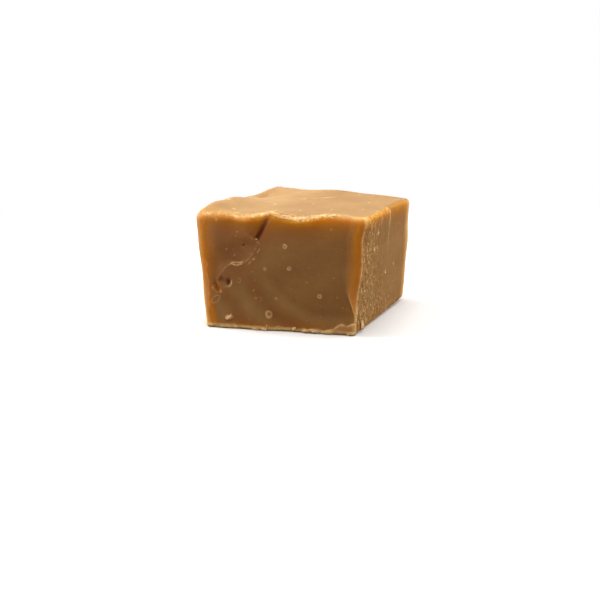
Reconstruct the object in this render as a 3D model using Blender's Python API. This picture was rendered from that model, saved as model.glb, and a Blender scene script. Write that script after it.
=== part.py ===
"""A piece of caramel fudge, cut with a knife from a poured slab: one solid block, wider than it is high.

Run it with blender --background --python part.py, or from the text editor. It makes one object,
fudge_cube, in metres with +Z up. The origin is the middle of the flat base. The front is -Y.

The block starts as a cube cut into a fine grid. Every grid point is then moved in three steps:
the edges are rounded, the corners are drifted to where the knife left them, and the marks of each
face are pressed in along the way the surface faces. All of that is worked out in millimetres.
"""

import bmesh
import bpy
import numpy as np

MM = 0.001
NAME = "fudge_cube"

# The plain block, along X, Y and Z, in millimetres.
WIDTH, DEPTH, HEIGHT = 34.0, 35.4, 24.0
HALF = np.array([WIDTH, DEPTH, HEIGHT]) / 2
GRID_STEP = 0.3
TRIANGLES = 9000

# For each corner (side, depth, level): how far it has drifted along X, Y and Z, and how round it is.
CORNERS = {
    (-1, -1, -1): (0.7, -2.1, 0.0, 0.7),
    (1, -1, -1): (-1.9, 0.9, 0.0, 0.5),
    (-1, 1, -1): (0.9, -0.6, 0.0, 1.2),
    (1, 1, -1): (0.9, -1.8, 0.0, 1.9),
    (-1, -1, 1): (-0.4, -0.3, -0.4, 2.0),
    (1, -1, 1): (0.4, -0.1, -0.9, 0.8),
    (-1, 1, 1): (2.8, 0.4, 2.2, 1.6),
    (1, 1, 1): (1.6, 0.35, -0.3, 1.2),
}

# The drifts shift the block: this is the middle of its outline along X and Y, moved to the origin.
MIDDLE = np.array([-0.09, -0.72, 0.0])

# Slow unevenness of every side but the base.
SWELL_HEIGHT, SWELL_LENGTH, SWELL_WAVES = 0.12, 11.0, 7

# Front: ripples that the knife left, as arcs round a point above the right end of the face.
RIPPLE_CENTRE, RIPPLE_CREST, RIPPLE_LENGTH, RIPPLE_HEIGHT = (12.0, 20.0), 18.7, 6.3, 0.11
RIPPLE_START = (14.5, 17.5)

# Front: the lip that the knife pulled up along the right edge. Its inner edge runs down at LIP_X
# and then slants out to the corner.
LIP_X, LIP_HEIGHT, LIP_BEND, LIP_END = 14.9, 0.45, 9.0, (16.9, 3.6)

# Front: the cleft under the rim, from its mouth down to its blind end, and the fold that goes on from it.
CLEFT_MOUTH, CLEFT_END, CLEFT_DEPTH = (-1.5, 24.0), (-4.6, 18.7), 1.6
CLEFT_LEFT, CLEFT_RIGHT = 1.7, 0.6
FOLD = [(-4.6, 18.7), (-4.7, 17.2), (-5.4, 15.0), (-7.0, 13.8), (-9.3, 13.4), (-11.8, 12.2), (-13.4, 10.5)]
FOLD_DEPTH, FOLD_REACH, FOLD_LIP = 0.4, 5.5, 0.14

# Front: holes torn by the knife, as (x, z), half width, half height, tilt in degrees and depth.
TORN_HOLES = [
    ((-11.7, 9.9), 1.75, 1.2, 0.0, 0.5),
    ((-10.9, 9.8), 0.8, 0.8, -20.0, 1.1),
    ((-13.9, 8.2), 0.7, 1.05, 32.0, 1.0),
    ((-7.4, 17.5), 0.45, 0.45, 0.0, 0.35),
]
TORN_LIP = [(-13.4, 10.5), (-13.7, 9.3), (-13.4, 8.4), (-12.7, 7.5)]
TORN_LIP_HEIGHT, TORN_LIP_WIDTH = 0.25, 0.3

# Front: air bubbles cut through, as (x, z) and radius. Each is a raised ring round a pit.
BUBBLES = [((-2.0, 3.4), 0.75), ((9.0, 7.9), 0.5), ((2.5, 13.3), 0.5), ((1.5, 17.7), 0.5), ((-8.6, 10.2), 0.6)]
BUBBLE_RIM, BUBBLE_PIT = 0.09, 0.3

# Front: the strip along the left edge that the left cut dragged round the corner, by its inner edge (x, z).
STRIP = [(-15.2, 24.0), (-16.6, 20.0), (-16.4, 14.0), (-15.8, 8.0), (-15.3, 0.0)]
STRIP_HEIGHT = 0.14

# Front: the smear along the foot of the right corner, as a raised patch under this outline.
SMEAR = [(10.0, 0.2), (11.2, 1.0), (12.2, 1.2), (13.8, 2.3), (15.2, 2.0), (16.6, 2.6)]
SMEAR_HEIGHT = 0.3

# Right side: the cut that stopped and started again, as a step that dies out downwards.
STEP_TOP, STEP_LOW, STEP_HEIGHT = (-0.7, 24.0), (1.2, 13.0), 0.55

# Left side: how far it bellies out, at the base and at the top.
LEFT_BULGE = (-0.3, 1.7)

# Dips (negative) and rises of the front rim, as x, reach along it and height.
RIM_WAVES = [(-7.4, 2.6, -0.55), (-1.8, 1.9, 0.6), (4.0, 3.0, -0.55), (11.0, 3.5, 0.4)]
RIM_REACH = 2.5
# Top: swells along the left edge, as (x, y), reach and height, and one long shallow scratch.
TOP_SWELLS = [
    ((-16.0, -13.5), 3.0, 1.1),
    ((-15.5, -7.5), 5.0, 1.45),
    ((-15.5, 5.5), 4.0, -0.6),
    ((2.0, 16.0), 8.0, 0.6),
]
SCRATCH_START, SCRATCH_END, SCRATCH_DEPTH, SCRATCH_WIDTH = (-4.4, 2.4), (1.7, 8.2), 0.2, 0.45


def clear_scene():
    """Takes out whatever the file opened with."""
    for obj in list(bpy.data.objects):
        bpy.data.objects.remove(obj)


def ease(low, high, value):
    """0 before low, 1 after high, smooth between. Low may be the larger of the two."""
    t = np.clip((value - low) / (high - low), 0, 1)
    return t * t * (3 - 2 * t)


def hump(distance, reach):
    """A round hump: 1 at no distance, and next to nothing past twice its reach."""
    return np.exp(-((distance / reach) ** 2))


def beside(x, z, start, end):
    """Where each point lies beside a line: 0 to 1 along it, and how far to its right."""
    (x0, z0), (x1, z1) = start, end
    length = np.hypot(x1 - x0, z1 - z0)
    dx, dz = (x1 - x0) / length, (z1 - z0) / length
    along = ((x - x0) * dx + (z - z0) * dz) / length
    return along, (x - x0) * dz - (z - z0) * dx


def beside_path(x, z, path):
    """The distance from each point to a bent line, negative on its left, and the share of the line passed."""
    nearest = np.full(x.shape, np.inf)
    signed = np.zeros(x.shape)
    passed = np.zeros(x.shape)
    for i, (start, end) in enumerate(zip(path, path[1:])):
        along, right = beside(x, z, start, end)
        held = np.clip(along, 0, 1)
        px = start[0] + held * (end[0] - start[0])
        pz = start[1] + held * (end[1] - start[1])
        distance = np.hypot(x - px, z - pz)
        closer = distance < nearest
        nearest = np.where(closer, distance, nearest)
        signed = np.where(closer, np.where(right < 0, -distance, distance), signed)
        passed = np.where(closer, (i + held) / (len(path) - 1), passed)
    return signed, passed


def cut_bubbles(x, z):
    """Raised rings with a small pit in the middle, where the knife went through air bubbles."""
    push = np.zeros(x.shape)
    for (cx, cz), radius in BUBBLES:
        distance = np.hypot(x - cx, z - cz)
        push += BUBBLE_RIM * hump(distance - radius * 0.75, radius * 0.35)
        push -= BUBBLE_PIT * hump(distance, radius * 0.4)
    return push


def cleft(x, z):
    """A V under the rim. Its left flank leans, its right one is steep, and it narrows to a blind end."""
    along, right = beside(x, z, CLEFT_MOUTH, CLEFT_END)
    # Looking from the mouth to the end, the right of the line is the left of the face.
    reach = CLEFT_LEFT * (1 - 0.5 * np.clip(along, 0, 1))
    flank = np.where(right > 0, np.exp(-np.abs(right) / reach), hump(right, CLEFT_RIGHT))
    deepening = 0.3 + 0.7 * ease(0.0, 0.85, along)
    return -CLEFT_DEPTH * flank * deepening * ease(-0.3, 0.1, along) * ease(1.07, 0.93, along)


def fold(x, z):
    """A step that goes on from the cleft: the upper left of the face lies lower, behind a thin lip."""
    side, passed = beside_path(x, z, FOLD)
    side = -side
    behind = ease(0.15, -0.35, side) * ease(-FOLD_REACH, -0.5, side)
    lip = hump(side - 0.3, 0.3) * ease(0.15, 0.4, passed) * ease(1.0, 0.85, passed)
    ends = ease(0.0, 0.12, passed) * ease(-15.4, -13.0, x)
    return -FOLD_DEPTH * behind * ends + FOLD_LIP * lip


def torn_holes(x, z):
    """Ragged holes beside the left edge, with the lip that was pushed up between them."""
    push = np.zeros(x.shape)
    for (cx, cz), half_width, half_height, tilt, depth in TORN_HOLES:
        turn = np.radians(tilt)
        u = ((x - cx) * np.cos(turn) + (z - cz) * np.sin(turn)) / half_width
        v = ((z - cz) * np.cos(turn) - (x - cx) * np.sin(turn)) / half_height
        push -= depth * ease(1.1, 0.45, np.hypot(u, v))
    side, passed = beside_path(x, z, TORN_LIP)
    return push + TORN_LIP_HEIGHT * hump(side, TORN_LIP_WIDTH) * ease(0.0, 0.2, passed) * ease(1.0, 0.8, passed)


def knife_lip(x, z):
    """The strip along the right edge that stands out from the face."""
    slant = (LIP_BEND - np.clip(z, LIP_END[1], LIP_BEND)) / (LIP_BEND - LIP_END[1])
    inner = LIP_X + (LIP_END[0] - LIP_X) * slant
    soft = 0.9 - 0.6 * ease(LIP_BEND + 3, LIP_BEND - 2, z)
    return LIP_HEIGHT * ease(inner - soft, inner + soft, x) * ease(LIP_END[1] - 1.5, LIP_END[1] + 1, z)


def front_marks(x, z):
    """How far the front stands out, in millimetres."""
    arc = np.hypot(x - RIPPLE_CENTRE[0], z - RIPPLE_CENTRE[1])
    ripple = RIPPLE_HEIGHT * np.cos(2 * np.pi * (arc - RIPPLE_CREST) / RIPPLE_LENGTH)
    push = ripple * ease(*RIPPLE_START, arc)
    push += cleft(x, z) + fold(x, z) + torn_holes(x, z) + knife_lip(x, z) + cut_bubbles(x, z)
    push += STRIP_HEIGHT * ease(0.25, -0.25, x - np.interp(z, *zip(*[(p[1], p[0]) for p in reversed(STRIP)])))
    outline = np.interp(x, *zip(*SMEAR), left=-1.0)
    return push + SMEAR_HEIGHT * ease(0.3, -0.3, z - outline)


def right_marks(y, z):
    """How far the right side stands out: its front part, up to the step, is proud."""
    along, right = beside(y, z, STEP_TOP, STEP_LOW)
    return STEP_HEIGHT * ease(-0.25, 0.25, right) * ease(1.0, 0.2, along)


def left_marks(z):
    """How far the left side stands out: it leans out towards the top."""
    return LEFT_BULGE[0] + (LEFT_BULGE[1] - LEFT_BULGE[0]) * z / HEIGHT


def top_marks(x, y):
    """How far the poured top stands up: swells, mostly at the left, and a scratch."""
    push = np.zeros(x.shape)
    for (cx, cy), reach, height in TOP_SWELLS:
        push += height * hump(np.hypot(x - cx, y - cy), reach)
    along, right = beside(x, y, SCRATCH_START, SCRATCH_END)
    ends = ease(-0.1, 0.2, along) * ease(1.1, 0.8, along)
    groove = hump(right, SCRATCH_WIDTH) - 0.4 * hump(right + 1.6 * SCRATCH_WIDTH, SCRATCH_WIDTH)
    return push - SCRATCH_DEPTH * groove * ends


def rim_waves(plain):
    """How far the front rim is lifted, as the cut made it wavy."""
    from_rim = np.hypot(plain[:, 1] + HALF[1], plain[:, 2] - HALF[2])
    along = sum(height * hump(plain[:, 0] - at, reach) for at, reach, height in RIM_WAVES)
    return along * hump(from_rim, RIM_REACH)


def swell(plain):
    """Slow waves in every direction, so that no side is quite flat."""
    draw = np.random.default_rng(4)
    total = np.zeros(len(plain))
    for _ in range(SWELL_WAVES):
        way = draw.normal(size=3)
        way /= np.linalg.norm(way)
        length = SWELL_LENGTH * draw.uniform(0.7, 1.6)
        total += np.cos(2 * np.pi * plain @ way / length + draw.uniform(0, 2 * np.pi))
    return SWELL_HEIGHT * total / np.sqrt(SWELL_WAVES)


def corner_values(unit):
    """Each point's drift and edge radius, mixed from the eight corners."""
    mixed = np.zeros((len(unit), 4))
    for signs, values in CORNERS.items():
        share = np.prod((1 + unit * np.array(signs)) / 2, axis=1)
        mixed += share[:, None] * np.array(values)
    return mixed


def worn_block(unit):
    """Moves the points of a cube from -1 to 1 onto the fudge. Returns their places in millimetres, from the base up."""
    values = corner_values(unit)
    drift, radius = values[:, :3], values[:, 3:]
    plain = unit * HALF
    inner = np.clip(plain, radius - HALF, HALF - radius)
    away = plain - inner
    facing = away / np.linalg.norm(away, axis=1, keepdims=True)
    place = inner + radius * facing + drift + np.array([0, 0, HALF[2]]) - MIDDLE

    x, y, z = plain[:, 0], plain[:, 1], plain[:, 2] + HALF[2]
    towards = np.clip(facing, 0, 1) ** 2
    against = np.clip(-facing, 0, 1) ** 2
    push = against[:, 1] * front_marks(x, z)
    push += towards[:, 0] * right_marks(y, z)
    push += against[:, 0] * left_marks(z)
    push += towards[:, 2] * top_marks(x, y)
    push += (1 - against[:, 2]) * swell(plain)
    place += facing * push[:, None]
    place[:, 2] += rim_waves(plain)
    # Nothing hangs below the base.
    place[:, 2] = np.maximum(place[:, 2], 0)
    return place


def grid_cube():
    """A cube from -1 to 1, cut into a grid of about GRID_STEP."""
    bm = bmesh.new()
    bmesh.ops.create_cube(bm, size=2.0)
    for axis, length in enumerate((WIDTH, DEPTH, HEIGHT)):
        whole = [e for e in bm.edges if abs(e.verts[0].co[axis] - e.verts[1].co[axis]) > 1.0]
        bmesh.ops.subdivide_edges(bm, edges=whole, cuts=round(length / GRID_STEP) - 1, use_grid_fill=True)
    mesh = bpy.data.meshes.new(NAME)
    bm.to_mesh(mesh)
    bm.free()
    return mesh


def fudge_material():
    """Caramel brown, a little waxy."""
    material = bpy.data.materials.new("caramel_fudge")
    material.use_nodes = True
    shader = material.node_tree.nodes["Principled BSDF"]
    shader.inputs["Base Color"].default_value = (0.37, 0.19, 0.075, 1)
    shader.inputs["Roughness"].default_value = 0.5
    shader.inputs["Metallic"].default_value = 0.0
    return material


def make_fudge():
    """The one solid: the worn block, with fewer triangles where it is smooth."""
    mesh = grid_cube()
    unit = np.empty(len(mesh.vertices) * 3)
    mesh.vertices.foreach_get("co", unit)
    place = worn_block(unit.reshape(-1, 3)) * MM
    mesh.vertices.foreach_set("co", place.ravel())
    mesh.materials.append(fudge_material())
    mesh.shade_smooth()

    fudge = bpy.data.objects.new(NAME, mesh)
    thin_out = fudge.modifiers.new("Fewer triangles", "DECIMATE")
    thin_out.ratio = TRIANGLES / (2 * len(mesh.polygons))

    collection = bpy.data.collections.new("Fudge cube")
    bpy.context.scene.collection.children.link(collection)
    collection.objects.link(fudge)


if __name__ == "__main__":
    clear_scene()
    make_fudge()
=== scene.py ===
# %% [markdown]
# A piece of caramel fudge
#
# Fudge is poured into a tray, left to set and cut with a long knife. One piece has six sides with three
# stories. The top is the skin that set in the air: pale, matt and gently wavy. The four cut sides are
# darker and a little waxy, with drag marks, torn spots and the round rims of air bubbles. The base lay on
# the tray and is flat. Light soaks into the sugar and comes out again near the edges, which glow amber.
#
# The lesson works in this order: camera and light, the tools, the shape, the marks, the finish, the crumbs.
# The fudge is measured in millimetres, because a knife mark is easier to think of as 0.3 mm.

import bmesh
import bpy
import numpy as np
from mathutils import Matrix, Vector


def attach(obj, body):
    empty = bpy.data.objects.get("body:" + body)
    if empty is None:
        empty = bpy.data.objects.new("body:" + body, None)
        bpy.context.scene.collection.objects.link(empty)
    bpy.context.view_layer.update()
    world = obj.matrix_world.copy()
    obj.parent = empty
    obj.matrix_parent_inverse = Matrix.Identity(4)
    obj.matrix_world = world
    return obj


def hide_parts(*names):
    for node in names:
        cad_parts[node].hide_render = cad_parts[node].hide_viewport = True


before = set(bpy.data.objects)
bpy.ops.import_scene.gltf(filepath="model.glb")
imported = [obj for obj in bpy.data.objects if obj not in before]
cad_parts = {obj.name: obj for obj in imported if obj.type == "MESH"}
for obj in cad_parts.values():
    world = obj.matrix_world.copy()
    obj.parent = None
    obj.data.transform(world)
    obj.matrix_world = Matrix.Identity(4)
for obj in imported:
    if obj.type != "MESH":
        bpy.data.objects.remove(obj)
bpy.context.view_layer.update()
MM = 0.001
scene = bpy.context.scene

# %% [markdown]
# The camera
#
# A look from the front right and a little above. A camera is a place and three directions: right, up and
# back. They are worked out from two angles and a slight tilt, and become the columns of its matrix. The
# lens is only 15 cm away, so the far edges shrink noticeably.

# %% Camera
AZIMUTH, ELEVATION, TILT = np.radians([21.1, 13.7, -1.07])
CAMERA_PLACE = Vector((49.04, -133.08, 37.0)) * MM
LENS, FILM_WIDTH, NEAREST_SEEN = 39.0, 36.0, 5 * MM


def camera_turn(azimuth, elevation, tilt):
    """The rotation whose columns are the camera's right, up and back."""
    back = Vector((
        np.sin(azimuth) * np.cos(elevation),
        -np.cos(azimuth) * np.cos(elevation),
        np.sin(elevation),
    ))
    right = Vector((0, 0, 1)).cross(back).normalized()
    level = Matrix((right, back.cross(right), back)).transposed()
    return level @ Matrix.Rotation(tilt, 3, "Z")


camera = bpy.data.objects.new("Camera", bpy.data.cameras.new("Camera"))
camera.matrix_world = Matrix.Translation(CAMERA_PLACE) @ camera_turn(AZIMUTH, ELEVATION, TILT).to_4x4()
camera.data.lens, camera.data.sensor_width, camera.data.clip_start = LENS, FILM_WIDTH, NEAREST_SEEN
scene.collection.objects.link(camera)
scene.camera = camera
print("camera", [round(v / MM) for v in CAMERA_PLACE], "mm from the middle of the base")

# %% [markdown]
# Light
#
# Food is often shot under one big soft light overhead, with little light from the front. That makes the top
# bright, leaves the cut faces quiet and lets the edges glow. Here that is an area light above, one at each
# side, and a dim sky. The sky looks white to the camera only: a Light Path node tells the rays that come
# from the camera from the ones that light the scene.

# %% Lights
scene.view_settings.view_transform = "Standard"
LIT_PLACE = Vector((0, 0, 0.01))
LIGHTS = [
    # Name, place and size in metres, power and colour.
    ("overhead", (0.03, -0.01, 0.50), 0.30, 1.31, (1.0, 0.985, 0.96)),
    ("right", (0.42, 0.14, 0.20), 0.25, 0.84, (1.0, 0.98, 0.95)),
    ("left", (-0.42, -0.02, 0.20), 0.25, 1.9, (1.0, 0.98, 0.95)),
]
for name, place, size, power, colour in LIGHTS:
    lamp = bpy.data.lights.new(name, "AREA")
    lamp.size, lamp.energy, lamp.color = size, power, colour
    light = bpy.data.objects.new(name, lamp)
    aim = (Vector(place) - LIT_PLACE).to_track_quat("Z", "Y").to_matrix().to_4x4()
    light.matrix_world = Matrix.Translation(place) @ aim
    scene.collection.objects.link(light)
    print("light", name, power, "W")

# %% Sky
SKY_STRENGTH, WHITE = 0.60, (1, 1, 1, 1)


def feed(tree, source, socket):
    """Links an output to a socket, or sets the socket where the source is a number or a colour."""
    if isinstance(source, bpy.types.NodeSocket):
        tree.links.new(source, socket)
    else:
        socket.default_value = source


def new_node(tree, kind, *sources, **values):
    """Adds a shader node. Sources feed its inputs in order. Values are settings, or inputs by name."""
    node = tree.nodes.new("ShaderNode" + kind)
    for name, value in values.items():
        if hasattr(node, name):
            setattr(node, name, value)
        else:
            feed(tree, value, node.inputs[name.replace("_", " ")])
    for source, socket in zip(sources, node.inputs):
        feed(tree, source, socket)
    return node


def camera_sees(tree, seen, lit):
    """One shader for the rays of the camera and another for all the rest."""
    from_camera = new_node(tree, "LightPath").outputs["Is Camera Ray"]
    return new_node(tree, "MixShader", from_camera, lit.outputs[0], seen.outputs[0]).outputs[0]


scene.world = bpy.data.worlds.new("Sky")
scene.world.use_nodes = True
sky = scene.world.node_tree
lit_sky = sky.nodes["Background"]
lit_sky.inputs["Strength"].default_value = SKY_STRENGTH
lit_sky.inputs["Color"].default_value = WHITE
seen_sky = new_node(sky, "Background", WHITE)
feed(sky, camera_sees(sky, seen_sky, lit_sky), sky.nodes["World Output"].inputs["Surface"])
print("sky strength", SKY_STRENGTH)

# %% [markdown]
# The floor
#
# A pale sweep of card. Close to the fudge it is a plain matt surface that takes the soft shadow. Further
# out it fades to white, so no horizon shows. To the light that bounces it is darker, as if a dark card lay
# just outside the picture: photographers do that to keep the front of a subject from washing out.

# %% Floor
# In metres: the floor's radius, and where the fade to white starts and ends.
FLOOR_RADIUS, FADE_START, FADE_END = 1.5, 0.05, 0.30
PAPER, DARK_CARD = (0.93, 0.93, 0.93, 1), (0.18, 0.125, 0.08, 1)


def new_object(name, bm):
    """Makes an object of a bmesh and puts it in the scene."""
    mesh = bpy.data.meshes.new(name)
    bm.to_mesh(mesh)
    bm.free()
    made = bpy.data.objects.new(name, mesh)
    scene.collection.objects.link(made)
    return made


bm = bmesh.new()
bmesh.ops.create_circle(bm, cap_ends=True, segments=64, radius=FLOOR_RADIUS)
floor = new_object("floor", bm)

card = bpy.data.materials.new("pale card")
card.use_nodes = True
tree = card.node_tree
tree.nodes.clear()
distance = new_node(tree, "VectorMath", new_node(tree, "TexCoord").outputs["Object"], operation="LENGTH")
fade = new_node(
    tree, "MapRange", distance.outputs["Value"],
    interpolation_type="SMOOTHSTEP", From_Min=FADE_START, From_Max=FADE_END,
)
paper, white = new_node(tree, "BsdfDiffuse", PAPER), new_node(tree, "Emission", WHITE)
seen_card = new_node(tree, "MixShader", fade.outputs["Result"], paper.outputs[0], white.outputs[0])
new_node(tree, "OutputMaterial", camera_sees(tree, seen_card, new_node(tree, "BsdfDiffuse", DARK_CARD)))
floor.data.materials.append(card)
print("floor", 2 * FLOOR_RADIUS, "m across")

# %% [markdown]
# Tools for marks
#
# A mark in soft food is rarely a clean shape. Most can be said with four small tools that work on whole
# arrays of points at once: a smooth ramp, a round hump, the distance to a bent line, and a random grain
# that varies smoothly.

# %% Ramps, humps and grain


def ease(low, high, value):
    """0 before low, 1 after high, smooth between. Low may be the larger of the two."""
    t = np.clip((value - low) / (high - low), 0, 1)
    return t * t * (3 - 2 * t)


def hump(distance, reach):
    """A round hump: 1 at no distance, and next to nothing past twice its reach."""
    return np.exp(-((distance / reach) ** 2))


GRAIN_CELLS = 32
GRAIN_TURN = np.array(Matrix.Rotation(0.9, 3, Vector((1.0, 0.7, 0.4))))


def grain(points, size, seed):
    """Smooth random values from -1 to 1, which change over a length of about size."""
    table = np.random.default_rng(seed).uniform(-1, 1, (GRAIN_CELLS,) * 3)
    scaled = points @ GRAIN_TURN / size
    cell = np.floor(scaled).astype(int)
    part = scaled - cell
    part = part * part * (3 - 2 * part)
    total = np.zeros(len(points))
    for corner in np.ndindex(2, 2, 2):
        share = np.prod(np.where(corner, part, 1 - part), axis=1)
        i, j, k = ((cell + corner) % GRAIN_CELLS).T
        total += share * table[i, j, k]
    return total


print("a hump at its reach", hump(1.0, 1.0).round(2))

# %% Distance to a bent line


def beside(x, z, start, end):
    """Where each point lies beside a line: 0 to 1 along it, and how far to its right."""
    (x0, z0), (x1, z1) = start, end
    length = np.hypot(x1 - x0, z1 - z0)
    dx, dz = (x1 - x0) / length, (z1 - z0) / length
    along = ((x - x0) * dx + (z - z0) * dz) / length
    return along, (x - x0) * dz - (z - z0) * dx


def beside_path(x, z, path):
    """The distance from each point to a bent line, negative on its left, and the share passed."""
    nearest = np.full(x.shape, np.inf)
    signed = np.zeros(x.shape)
    passed = np.zeros(x.shape)
    for i, (start, end) in enumerate(zip(path, path[1:])):
        along, right = beside(x, z, start, end)
        held = np.clip(along, 0, 1)
        px = start[0] + held * (end[0] - start[0])
        pz = start[1] + held * (end[1] - start[1])
        away = np.hypot(x - px, z - pz)
        closer = away < nearest
        nearest = np.where(closer, away, nearest)
        signed = np.where(closer, np.where(right < 0, -away, away), signed)
        passed = np.where(closer, (i + held) / (len(path) - 1), passed)
    return signed, passed


print("1 mm to the right of a line", beside_path(np.ones(1), np.ones(1), [(0, 0), (0, 4)]))

# %% [markdown]
# The block
#
# Soft fudge gives under the knife, so the block leans, narrows to the base and has no two edges alike. The
# shape starts as a plain box. Each of its eight corners is given a drift and a roundness, and every point
# between mixes the eight. To round the box, each point is pulled in to a smaller box and pushed out again
# by the radius: flat sides stay flat, and edges become arcs.

# %% Slow shape
WIDTH, DEPTH, HEIGHT = 34.0, 35.4, 24.0
HALF = np.array([WIDTH, DEPTH, HEIGHT]) / 2
# The middle of the finished block's base, which goes to the origin.
MIDDLE = np.array([-0.09, -0.72, 0.0])

# For each corner (side, depth, level): its drift along X, Y and Z, and its roundness.
CORNERS = {
    (-1, -1, -1): (0.7, -2.1, 0.0, 0.7),
    (1, -1, -1): (-1.9, 0.9, 0.0, 0.5),
    (-1, 1, -1): (0.9, -0.6, 0.0, 1.2),
    (1, 1, -1): (0.9, -1.8, 0.0, 1.9),
    (-1, -1, 1): (-0.4, -0.3, -0.4, 2.0),
    (1, -1, 1): (0.4, -0.1, -0.9, 0.8),
    (-1, 1, 1): (2.8, 0.4, 2.2, 1.6),
    (1, 1, 1): (1.6, 0.35, -0.3, 1.2),
}
SWELL_HEIGHT, SWELL_LENGTH, SWELL_WAVES = 0.12, 11.0, 7


def from_base(plain):
    """X, Y and the height above the base, for points measured from the middle of the plain block."""
    return plain[:, 0], plain[:, 1], plain[:, 2] + HALF[2]


def side_shares(facing):
    """How much of each point belongs to the sides towards X, Y and Z, and to those against them."""
    return np.clip(facing, 0, 1) ** 2, np.clip(-facing, 0, 1) ** 2


def corner_values(unit):
    """Each point's drift and edge radius, mixed from the eight corners."""
    mixed = np.zeros((len(unit), 4))
    for signs, values in CORNERS.items():
        share = np.prod((1 + unit * np.array(signs)) / 2, axis=1)
        mixed += share[:, None] * np.array(values)
    return mixed


def swell(plain):
    """Slow waves in every direction, so that no side is quite flat."""
    draw = np.random.default_rng(4)
    total = np.zeros(len(plain))
    for _ in range(SWELL_WAVES):
        way = draw.normal(size=3)
        way /= np.linalg.norm(way)
        length = SWELL_LENGTH * draw.uniform(0.7, 1.6)
        total += np.cos(2 * np.pi * plain @ way / length + draw.uniform(0, 2 * np.pi))
    return SWELL_HEIGHT * total / np.sqrt(SWELL_WAVES)


def span(marks, a_half, b_low, b_high):
    """The lowest and highest push that a side's marks give on a coarse grid, in millimetres."""
    a, b = np.meshgrid(np.linspace(-a_half, a_half, 80), np.linspace(b_low, b_high, 60))
    push = marks(a.ravel(), b.ravel())[0]
    return round(float(push.min()), 2), round(float(push.max()), 2)


print("plain block", WIDTH, "by", DEPTH, "by", HEIGHT, "mm")

# %% [markdown]
# Cut bubbles
#
# Stirred fudge traps air. Where the knife passes through a bubble it leaves a small pit with a ring round
# it, smeared up by the blade and paler than the rest. The big ones of the front are listed one by one; the
# small ones are drawn at random, far more small than large.

# %% Bubbles


def close_to(a, b, ca, cb, reach):
    """Which points lie in the square round a place: only these are worked on."""
    return (np.abs(a - ca) < reach) & (np.abs(b - cb) < reach)


def bubbles(a, b, spots):
    """Masks for pits and the rings round them. Each spot is (a, b, radius) on the side."""
    pits = np.zeros(a.shape)
    rings = np.zeros(a.shape)
    for ca, cb, radius in spots:
        near = close_to(a, b, ca, cb, 2.5 * radius)
        turn = np.arctan2(b[near] - cb, a[near] - ca)
        uneven = 1 + 0.07 * np.sin(2 * turn + 9 * ca) + 0.04 * np.sin(3 * turn + cb)
        away = np.hypot(a[near] - ca, b[near] - cb) / radius * uneven
        ring = (0.8 + 0.2 * np.sin(turn + 5 * cb)) * hump(away - 0.75, 0.22)
        pits[near] = np.maximum(pits[near], hump(away, 0.22))
        rings[near] = np.maximum(rings[near], np.maximum(ring, 0.5 * ease(1.0, 0.7, away)))
    return pits, rings


def dots(a, b, spots):
    """A mask for small filled spots: bubbles that the blade smeared shut."""
    mask = np.zeros(a.shape)
    for ca, cb, radius in spots:
        near = close_to(a, b, ca, cb, 2.5 * radius)
        mask[near] = np.maximum(mask[near], hump(np.hypot(a[near] - ca, b[near] - cb), 0.8 * radius))
    return mask


def small_bubbles(count, a_half, b_range, smallest, largest, seed):
    """Random small spots on a side that runs from -a_half to a_half."""
    draw = np.random.default_rng(seed)
    found = []
    for _ in range(count):
        radius = smallest * (largest / smallest) ** (draw.random() ** 2.5)
        found.append((draw.uniform(-a_half, a_half), draw.uniform(*b_range), radius))
    return found


print("a random bubble", np.round(small_bubbles(1, 10, (0, 20), 0.1, 0.5, 1), 1))

# %% [markdown]
# The poured top
#
# The top set by itself, so it has swells but no cuts: a raised left edge with a dip, and a high back
# corner. The knife came down through its front rim, left it wavy and crumbly and threw a margin of sugar
# over it. A shallow scratch lies just behind the middle.

# %% Top marks
# Waves of the front rim: place along X, reach and height.
RIM_WAVES = [(-7.4, 2.6, -0.55), (-1.8, 1.9, 0.6), (4.0, 3.0, -0.55), (11.0, 3.5, 0.4)]
RIM_REACH = 2.5
TOP_SWELLS = [
    # Place, reach and height.
    ((-16.0, -13.5), 3.0, 1.1),
    ((-15.5, -7.5), 5.0, 1.45),
    ((-15.5, 5.5), 4.0, -0.6),
    ((2.0, 16.0), 8.0, 0.6),
    ((16.5, 5.0), 8.0, 0.5),
    ((17.0, -0.5), 3.5, 0.2),
]
SCRATCH_START, SCRATCH_END, SCRATCH_DEPTH, SCRATCH_WIDTH = (-4.4, 2.4), (1.7, 8.2), 0.13, 0.26
TOP_DOTS = [
    (-15.0, -9.4, 0.4), (-6.3, -6.1, 0.4), (1.8, -11.6, 0.35), (0.9, -3.0, 0.3), (11.6, 1.9, 0.35),
    (5.7, 13.1, 0.35), (-11.3, -14.0, 0.3), (-2.5, -13.2, 0.25), (7.4, -9.0, 0.25), (12.8, -6.2, 0.25),
]


def rim_waves(plain):
    """How far the front rim is lifted, as the cut made it wavy."""
    from_rim = np.hypot(plain[:, 1] + HALF[1], plain[:, 2] - HALF[2])
    along = sum(height * hump(plain[:, 0] - at, reach) for at, reach, height in RIM_WAVES)
    return along * hump(from_rim, RIM_REACH)


def scratch(x, y):
    """The groove across the top, and the thin burr along its far side."""
    along, right = beside(x, y, SCRATCH_START, SCRATCH_END)
    ends = ease(-0.1, 0.2, along) * ease(1.1, 0.8, along)
    groove = hump(right, SCRATCH_WIDTH) * ends
    burr = hump(right + 1.6 * SCRATCH_WIDTH, 0.7 * SCRATCH_WIDTH) * ends
    return groove, burr


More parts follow.
